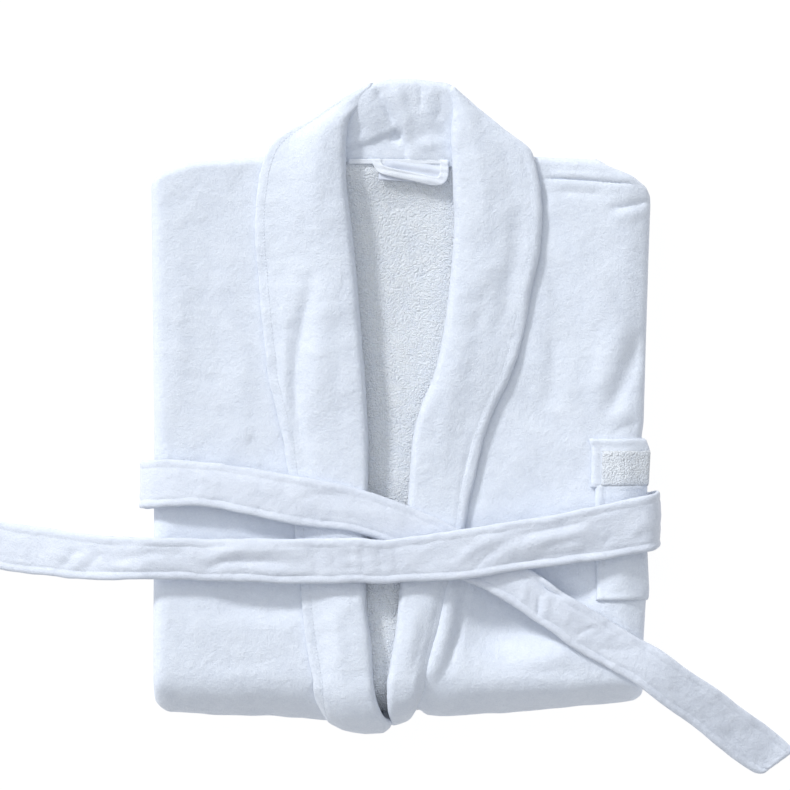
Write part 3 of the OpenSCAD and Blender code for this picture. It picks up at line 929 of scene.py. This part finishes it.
def make_fall():
    x = np.linspace(-135, 131, 96)
    top = crown_y(x)
    slope = np.gradient(top, x)
    n = unit(np.stack([-slope, np.ones_like(slope)], axis=1))
    radius = 2.3
    turn = np.linspace(math.pi / 2, -math.pi / 2, 9)
    run = np.linspace(0, 1, 14)[1:]
    rows = []
    for xi, yi, ni in zip(x, top, n):
        depth = np.maximum(yi - 282, 3.0)
        # In the middle the stand's own turn takes the edge, so the fall stays flat below it
        raised = 0.1 + 0.9 * smoothstep((abs(xi + 1) - 52) / 14)
        back = 9 * (1 - raised) * min(1, depth / 30)
        path = [(-radius - min(10, depth * 0.6), 2 * radius), (-radius - min(5, depth * 0.4), 2 * radius)]
        path += [(-radius + radius * math.cos(t), radius + radius * math.sin(t)) for t in turn]
        end_x, end_y = xi - ni[0] * (radius + back), yi - ni[1] * (radius + back)
        rows.append([(xi + ni[0] * (a - back), yi + ni[1] * (a - back), 38.0 + h * raised) for a, h in path]
                    + [(lerp(end_x, xi, t), lerp(end_y, 281.5, t), 38.0) for t in run])
    m = np.array(rows)
    m[..., 2] += 0.4 * noise(m[..., 0], m[..., 1], 24, 91)
    cloth("collar_fall_cloth", m, 3.2, "robe", [COLLAR], ["collar_back_fall"])


make_stand()
make_fall()


# ---------- Hanger loop, label and neck tape ----------

def ribbon(name, node, line, width, thick, body, material, height=None, columns=9, step=2.0):
    """A flat tape along a line of (x, y, z); its width lies in plan."""
    path = curve(line, step=step)
    tangent = unit(np.gradient(path[:, :2], axis=0))
    side = np.stack([-tangent[:, 1], tangent[:, 0]], axis=1)
    a = np.linspace(-0.5, 0.5, columns) * width
    m = np.stack([path[:, :1] + side[:, :1] * a, path[:, 1:2] + side[:, 1:] * a,
                  np.broadcast_to(path[:, 2:], (len(path), columns))], axis=-1)
    if height is not None:
        m[..., 2] += height(m[..., 0], m[..., 1])
    cloth(name, m, thick, body, [material], [node])


def label_wave(x, y):
    streak = np.sin((y + 0.14 * x) / 1.5) * 0.4 + 0.5 * np.sin((y + 0.2 * x) / 3.1 + 1.0)
    return 1.3 * streak * smoothstep((x + 18) / 12) + 0.5 * noise(x, y, 12, 95)


def loop_wave(x, y):
    return 0.8 * noise(x, y, 13, 97) + 0.4 * np.sin((y + 0.17 * x) / 1.1)


TAPE_LINE = [(-52, 279, 43.0), (0, 278.6, 43.2), (50, 279, 43.0)]
LABEL_LINE = [(-21, 271, 42.8), (12, 268.5, 43.8), (46, 266.5, 43.2)]
LOOP_LINE = [(-23, 281.5, 43.8), (-22.6, 277, 44.4), (-19, 271.4, 45.0), (-9, 268, 45.4),
             (13, 263.4, 45.6), (34, 259.0, 45.4), (41.5, 260.5, 45.0), (44.2, 267, 44.4),
             (44.2, 281.5, 43.8)]

ribbon("neck_tape_cloth", "neck_tape", TAPE_LINE, 5, 1.0, "robe", TAPE)
ribbon("size_label_cloth", "size_label", LABEL_LINE, 20, 0.8, "robe", LABEL, label_wave,
       columns=30, step=1.5)
ribbon("hanger_loop_cloth", "hanger_loop", LOOP_LINE, 8.8, 1.7, "loop", TAPE, loop_wave,
       columns=15, step=1.5)


# ---------- Pocket ----------

def panel_surface(section, ys):
    """Points over the right front panel: a side section at rows of y."""
    x, r = section[:, 0], section[:, 1]
    m = np.array([np.stack([x, np.full_like(x, y), MID + r], axis=1) for y in ys])
    m[..., 2] += top_relief(m, r)
    return in_plan(m)


def make_pocket_part(node, y0, y1, x0, lift, thick):
    section = side_section(x0, MID + lift, 4.2, HALF_W + lift, x_turn=185, step=2.6)
    section[:, 1] = np.where(section[:, 1] < 5, 4.4, section[:, 1])
    m = panel_surface(section, np.arange(y0, y1 + 0.1, 2.6))
    x, y = m[..., 0], m[..., 1]
    rim = 0.9 * (bump((x - x0 - 2.5) / 2.0) + bump((y - y1 + 2.5) / 2.0))
    if node == "pocket":
        rim = rim + 1.2 * bump((y - y0 - 3) / 2.4) - 0.5 * bump((x - x0 - 7.5) / 1.2)
        rim = rim + ridge(x, y, [(215, -70), (222, -110), (214, -150)], 1.2, 7)
    else:
        rim = rim - 0.7 * bump((x - x0 - 9.5) / 1.4) - 0.9 * bump((y - y1 + 9.5) / 1.4)
    m[..., 2] += np.where(m[..., 2] > 38, rim, 0)
    cloth(node + "_cloth", m, thick, "robe", [VELOUR], [node])


make_pocket_part("pocket", -161, -44, 198, 1.5, 2.6)
make_pocket_part("pocket_band", -48, 2, 193, 2.0, 3.0)

# Looped inner face shown by the turned-out band
patch_section = side_section(204, MID + 3.7, 9.0, HALF_W + 3.2, x_turn=241, step=2.2)
patch = panel_surface(patch_section, np.arange(-46, -10.5, 2.2))
cloth("pocket_band_terry", patch, 1.8, "robe", [TERRY])


# ---------- Belt ----------

BELT_COLUMNS = np.array([0, 0.012, 0.03, 0.06, 0.09, 0.12, 0.15, 0.175, 0.2, 0.225, 0.26, 0.31, 0.37, 0.43,
                         0.5, 0.57, 0.63, 0.69, 0.74, 0.775, 0.8, 0.825, 0.85, 0.88, 0.91, 0.94, 0.97,
                         0.988, 1.0])
BACK_Z = 1.6

# Stations (x_top, y_top, z_top, x_bottom, y_bottom, z_bottom), the last leg under the bundle
UPPER_STRIP = [
    (-446, -79, 2.6, -446, -127, 2.6), (-425, -81, 3.3, -425, -129, 3.3), (-405, -84, 7.5, -405, -132, 7.5),
    (-370, -88, 19.2, -370, -136, 19.2), (-330, -93, 35, -330, -139, 34.6), (-290, -96, 51, -290, -139.5, 50),
    (-262, -97.5, 60, -262, -138.5, 58), (-250, -97.5, 61.3, -250, -138.5, 59),
    (-225, -98, 62.5, -225, -139, 59.5),
    (-180, -98.5, 65, -180, -140, 61), (-130, -98, 68, -130, -141.5, 64), (-80, -97.5, 69.2, -80, -142, 65),
    (-40, -97.5, 69.5, -40, -141.5, 65), (0, -97.5, 69.4, 0, -141, 65.4), (61, -88, 70.4, 61, -137, 67.6),
    (100, -82, 70.2, 100, -131, 67), (143, -76, 68.2, 143, -126, 63.4), (196, -65, 65.2, 196, -119, 60),
    (228, -58, 62.5, 230, -113, 58.5), (248, -54, 58, 249, -110, 55.5), (257, -52, 48, 257, -108, 46),
    (259.5, -52, 32, 259.5, -108, 32), (258, -53, 14, 258, -109, 14), (251, -54, 4.2, 251, -109, 4.2),
    (236, -54, BACK_Z, 236, -107, BACK_Z), (200, -50, BACK_Z, 200, -105, BACK_Z),
    (120, -44.7, BACK_Z, 120, -98.6, BACK_Z), (0.6, -37.5, BACK_Z, 0.6, -89.5, BACK_Z),
]
LOWER_STRIP = [
    (-0.6, -37.5, BACK_Z, -0.6, -89.5, BACK_Z), (-120, -30.3, BACK_Z, -120, -80.4, BACK_Z),
    (-200, -25.5, BACK_Z, -200, -74.4, BACK_Z), (-236, -23, BACK_Z, -236, -71.5, BACK_Z),
    (-251, -22, 4.2, -251, -70, 4.2), (-258, -22, 14, -258, -69, 14), (-259.5, -21, 30, -259.5, -68, 30),
    (-256, -20.5, 43, -257, -67.5, 45), (-246, -20, 51, -248, -67, 55), (-228, -20.5, 54.5, -230, -67, 59.5),
    (-195, -23, 55, -195, -66.5, 62.5), (-130, -31, 56.6, -130, -78, 62.5), (-90, -38, 57.6, -90, -86, 60),
    (-43, -49, 57.2, -43, -93, 57.4), (17, -69, 57, 8, -112, 57), (57, -88, 57, 42, -130, 57),
    (100, -111, 57, 82, -147, 57), (136, -133, 57, 110, -163, 57), (172, -158, 56.2, 145, -187, 56.5),
    (204, -177, 52, 174, -208, 53), (237, -197, 49, 214, -230, 50), (268, -216, 47.5, 245, -251, 48),
    (290, -231, 41, 266, -266, 41), (320, -252, 30, 295, -288, 30), (345, -271, 20, 322, -310, 20),
    (366, -287, 11, 342, -327, 11.5), (382, -300, 5.5, 352, -334, 7), (394, -310, 3.4, 361, -338.5, 4.6),
    (401, -316, 2.8, 370, -338.5, 3.4),
]

UPPER_FOLDS = [
    ([(-342, -132), (-332, -120), (-320, -107)], -1.7, 2.6),
    ([(-330, -134), (-318, -120), (-306, -108)], 1.0, 2.6),
    ([(-317, -132), (-306, -122), (-295, -110)], -1.2, 2.3),
    ([(-300, -134), (-286, -127), (-240, -124)], 1.1, 3),
    ([(-289, -121), (-245, -113), (-206, -113)], -1.4, 3),
    ([(-211, -127), (-183, -113), (-150, -107), (-95, -109)], 2.4, 4),
    ([(-200, -133), (-178, -122), (-150, -121), (-95, -120)], -2.2, 3.2),
    ([(-160, -130), (-110, -130), (-70, -130)], 1.2, 3),
    ([(-90, -104), (-40, -104), (10, -104)], 1.0, 4),
    ([(99, -92), (135, -91), (174, -83), (205, -72)], -1.4, 2.6),
    ([(49, -128), (69, -110), (91, -99), (112, -97)], 2.2, 3.4),
    ([(66, -133), (86, -116), (106, -106)], -1.3, 2.4),
    ([(83, -121), (110, -108), (147, -97), (191, -88), (212, -82)], 2.4, 4),
    ([(66, -134), (105, -124), (147, -116), (188, -111), (238, -105)], -2.0, 4),
    ([(200, -106), (212, -94)], -1.0, 2),
    ([(225, -98), (238, -84), (250, -70)], 1.2, 5),
] + [([(x - 2, -100), (x, -118), (x + 3, -137)], -0.9, 3.2) for x in (-84, -66, -49, -37, -20, -3)]
LOWER_FOLDS = [
    ([(-240, -36), (-200, -37), (-150, -42), (-110, -48)], 0.9, 5),
    ([(-206, -59), (-185, -61), (-160, -60)], -1.1, 3),
    ([(-164, -48), (-140, -52), (-115, -56)], 1.0, 3.5),
    ([(-112, -64), (-86, -54), (-50, -56)], -1.6, 3),
    ([(-95, -72), (-60, -70), (-30, -76)], 1.1, 4),
    ([(-70, -52), (-40, -60), (-10, -72)], -0.8, 3),
    ([(132, -132), (147, -149), (170, -159)], -3.2, 2.3),
    ([(138, -152), (138, -164), (138, -178)], -2.4, 1.8),
    ([(145, -153), (145, -165), (146, -182)], 1.5, 3),
    ([(120, -140), (124, -150), (122, -164)], 1.2, 4),
    ([(172, -199), (184, -190), (200, -187)], -1.5, 2),
    ([(196, -212), (204, -219), (213, -225)], -1.5, 2),
    ([(198, -207), (214, -209), (232, -214)], -0.9, 2),
    ([(182, -178), (200, -190), (220, -200)], 1.0, 5),
    ([(262, -222), (300, -248), (340, -278)], 0.9, 6),
    ([(313, -286), (335, -303), (358, -321)], -1.3, 3),
]


def belt_section(b, width):
    """Height of the belt's turned edges and stitched ditches across it, from its lower edge."""
    low = b * width
    high = (1 - b) * width
    edges = 0.6 * bump((low - 3.0) / 2.2) - 0.55 * bump((low - 7.6) / 1.6)
    edges = edges + 0.15 * bump((high - 3.6) / 2.6) - 0.4 * bump((high - 8.2) / 1.7)
    # The turned edges are softer than the middle and round off downwards
    round_off = 1.5 * np.square(1 - np.clip(low / 3.6, 0, 1)) + 1.5 * np.square(1 - np.clip(high / 3.6, 0, 1))
    return edges - round_off + 0.5 * bump((b - 0.5) / 0.28) - 0.4


def make_strip(name, stations, folds, seed, nodes):
    """One half of the belt and the rows for its stitches."""
    line = curve(stations, step=3.6)
    top, bottom = line[:, :3], line[:, 3:]
    across = (top - bottom)[:, None]
    along = distance_along((top + bottom) / 2)
    b = BELT_COLUMNS
    m = bottom[:, None] + across * b[None, :, None]
    n = normals(m)
    width = np.linalg.norm(top - bottom, axis=1)
    wander = waves(along, 0 * along, (0.9, 34, seed + 3), (0.5, 13, seed + 4))
    m = m + across * (wander / width)[:, None, None]
    under = (1 - smoothstep((top[:, 2] - 1) / 8)) * (np.abs((top + bottom)[:, 0] / 2) < 262)
    u, v = np.broadcast_arrays(along[:, None], (b * 45)[None])
    h = belt_section(b[None], width[:, None]) + waves(u, v, (0.9, 22, seed), (0.15, 5, seed + 2))
    h = h + 0.45 * noise(u / 3, v, 5, seed + 1)
    wider = [(fold, height, wide * 1.25) for fold, height, wide in folds]
    h = h + ridges(m[..., 0], m[..., 1], wider) * (m[..., 2] > 2)
    h = h * (1 - 0.85 * under)[:, None]
    m = m + n * h[..., None]
    thick = lerp(4.4, 2.7, under)[:, None] * np.ones(len(b))
    m[..., 2] = np.maximum(m[..., 2], thick / 2 + 0.2)
    piece, face = cloth(name, m, thick, None, [BELT_SHADED], nodes, flip=True)
    on_top = under < 0.5
    rows = [tuple(line[3:-3] for line in row_on(face[on_top], column)) for column in (7.6, len(b) - 8.6)]
    return piece, rows


upper_strip, upper_rows = make_strip("belt_upper_run", UPPER_STRIP, UPPER_FOLDS, 101,
                                     ["belt_half_left_tail", "belt_tail_left"])
lower_strip, lower_rows = make_strip("belt_lower_run", LOWER_STRIP, LOWER_FOLDS, 111,
                                     ["belt_half_right_tail", "belt_tail_right"])
upper_threads = stitches("belt_upper_stitches", upper_rows, 0.2)
lower_threads = stitches("belt_lower_stitches", lower_rows, 0.2)
for piece in (upper_strip, upper_threads):
    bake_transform(piece)
for piece in (lower_strip, lower_threads):
    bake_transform(piece)


# ---------- Sleeves, cuffs, belt loops and hems ----------

SLEEVE_INNER = [(-150, 31), (190, 31), (222, 46), (236, 60)]
SLEEVE_OUTER = [(-150, 231), (120, 234), (215, 226), (238, 214)]


def flat_cloth(node, y, low, high, z, thick, wave, seed):
    """A flat cloth between two edges, given as x at rows of y."""
    share = np.linspace(0, 1, 40)
    x = low[:, None] + (high - low)[:, None] * share[None]
    y = np.broadcast_to(y[:, None], x.shape)
    m = np.stack([x, y, z + wave * noise(x, y, 28, seed)], axis=-1)
    cloth(node + "_cloth", m, thick, "robe", [VELOUR], [node])


def make_sleeve(side):
    """A sleeve with its cuff and belt loop."""
    word = WORDS[side]
    low, high = cad("sleeve_" + word)
    y = np.arange(-147, 236 + 0.1, 6.0)
    inner, outer = table(y, SLEEVE_INNER), table(y, SLEEVE_OUTER)
    edges = (inner, outer) if side > 0 else (-outer, -inner)
    flat_cloth("sleeve_" + word, y, *edges, (low[2] + high[2]) / 2, 4.8, 0.4, 203 + side)
    low, high = cad("cuff_" + word)
    y = np.arange(low[1] + 1, -151 + 0.1, 6.0)
    flat_cloth("cuff_" + word, y, np.full_like(y, low[0] + 1), np.full_like(y, high[0] - 1),
               (low[2] + high[2]) / 2, 5.4, 0.2, 211 + side)
    low, high = cad("belt_loop_" + word)
    x, _, z = (low + high) / 2
    line = [(x, low[1] + 1, z), (x, -70, z), (x, high[1] - 1, z)]
    ribbon("belt_loop_" + word + "_cloth", "belt_loop_" + word, line, 11, 1.9, "robe", VELOUR)


for side in WORDS:
    make_sleeve(side)


def make_hem(node, section, thick, material):
    x, r = section[:, 0], section[:, 1]
    ys = np.arange(HEM_START - 1, HEM_Y - 0.5, 3.0)
    m = np.array([np.stack([x, np.full_like(x, y), MID - r], axis=1) for y in ys])
    m[..., 2] += 0.15 * noise(m[..., 0], m[..., 1], 24, 221)
    cloth(node + "_cloth", in_plan(m), thick, "robe", [material], [node])


def front_hem_section(start):
    return side_section(start, MID - CLOTH / 2 - 0.1, FRONT_TURN + 0.2, HALF_W - CLOTH / 2 - 0.2)


make_hem("hem_right", front_hem_section(99), 4.6, VELOUR)
make_hem("hem_left", mirrored(front_hem_section(31.5))[::-1], 4.6, VELOUR)
back_hem_half = side_section(0, MID - 5 - CLOTH / 2, BACK_TURN + 0.2, HALF_W - 5.6 - CLOTH / 2)
make_hem("hem_back", both_sides(back_hem_half), 4.2, TERRY)


# ---------- Flat sizes of the sheets of cloth ----------

# A tape narrower than this, in metres, is trim and not a sheet
NARROWEST_SHEET = 0.01


def declare_sheet(m):
    """Measures the flat size of a cloth, its longest row and column; nothing is kept of it."""
    width = np.linalg.norm(np.diff(m, axis=1), axis=2).sum(1).max() * MM
    length = np.linalg.norm(np.diff(m, axis=0), axis=2).sum(0).max() * MM
    if min(width, length) < NARROWEST_SHEET:
        return


for name, (piece, middle) in cloths.items():
    declare_sheet(middle)


# ---------- Camera, lights, floor ----------

scene = bpy.context.scene
scene.view_settings.view_transform = "Standard"

# Middle and width of the view, and the camera's height above the middle of the bundle's top
VIEW_X, VIEW_Y, VIEW_W = -5.0, 45.0, 790.0
CAMERA_UP = 3000.0
VIEW_Z = 48
SENSOR_W = 36
camera_data = bpy.data.cameras.new("camera")
camera_data.lens = SENSOR_W * CAMERA_UP / VIEW_W
camera = bpy.data.objects.new("camera", camera_data)
camera.location = (VIEW_X * MM, VIEW_Y * MM, (CAMERA_UP + VIEW_Z) * MM)
scene.collection.objects.link(camera)
scene.camera = camera


def add_sun(name, direction, strength, angle, colour):
    light = bpy.data.lights.new(name, "SUN")
    light.energy = strength
    light.angle = math.radians(angle)
    light.color = colour
    lamp = bpy.data.objects.new(name, light)
    lamp.rotation_mode = "QUATERNION"
    lamp.rotation_quaternion = Vector(direction).to_track_quat("-Z", "Y")
    scene.collection.objects.link(lamp)


add_sun("key", (1.15, -1.3, -1.0), 2.0, 8, (0.97, 0.985, 1.0))
add_sun("overhead", (0.2, -0.35, -1.0), 1.22, 105, (0.92, 0.96, 1.0))

world = bpy.data.worlds.new("studio")
world.use_nodes = True
sky = world.node_tree.nodes["Background"]
sky.inputs["Color"].default_value = (0.93, 0.96, 1.0, 1)
sky.inputs["Strength"].default_value = 0.32
scene.world = world


FLOOR_SIZE = 4.0


def make_floor():
    """A large, nearly white floor just below the part."""
    corners = [(x * FLOOR_SIZE, y * FLOOR_SIZE, 0) for x, y in ((-1, -1), (1, -1), (1, 1), (-1, 1))]
    mesh = bpy.data.meshes.new("floor")
    mesh.from_pydata(corners, [], [(0, 1, 2, 3)])
    material = bpy.data.materials.new("floor_white")
    material.use_nodes = True
    shader = material.node_tree.nodes["Principled BSDF"]
    shader.inputs["Base Color"].default_value = (0.1, 0.1, 0.1, 1)
    shader.inputs["Roughness"].default_value = 0.9
    shader.inputs["Emission Color"].default_value = (1, 1, 1, 1)
    shader.inputs["Emission Strength"].default_value = 0.93
    mesh.materials.append(material)
    floor = bpy.data.objects.new("floor", mesh)
    scene.collection.objects.link(floor)
    floor.location.z = -0.0004


make_floor()
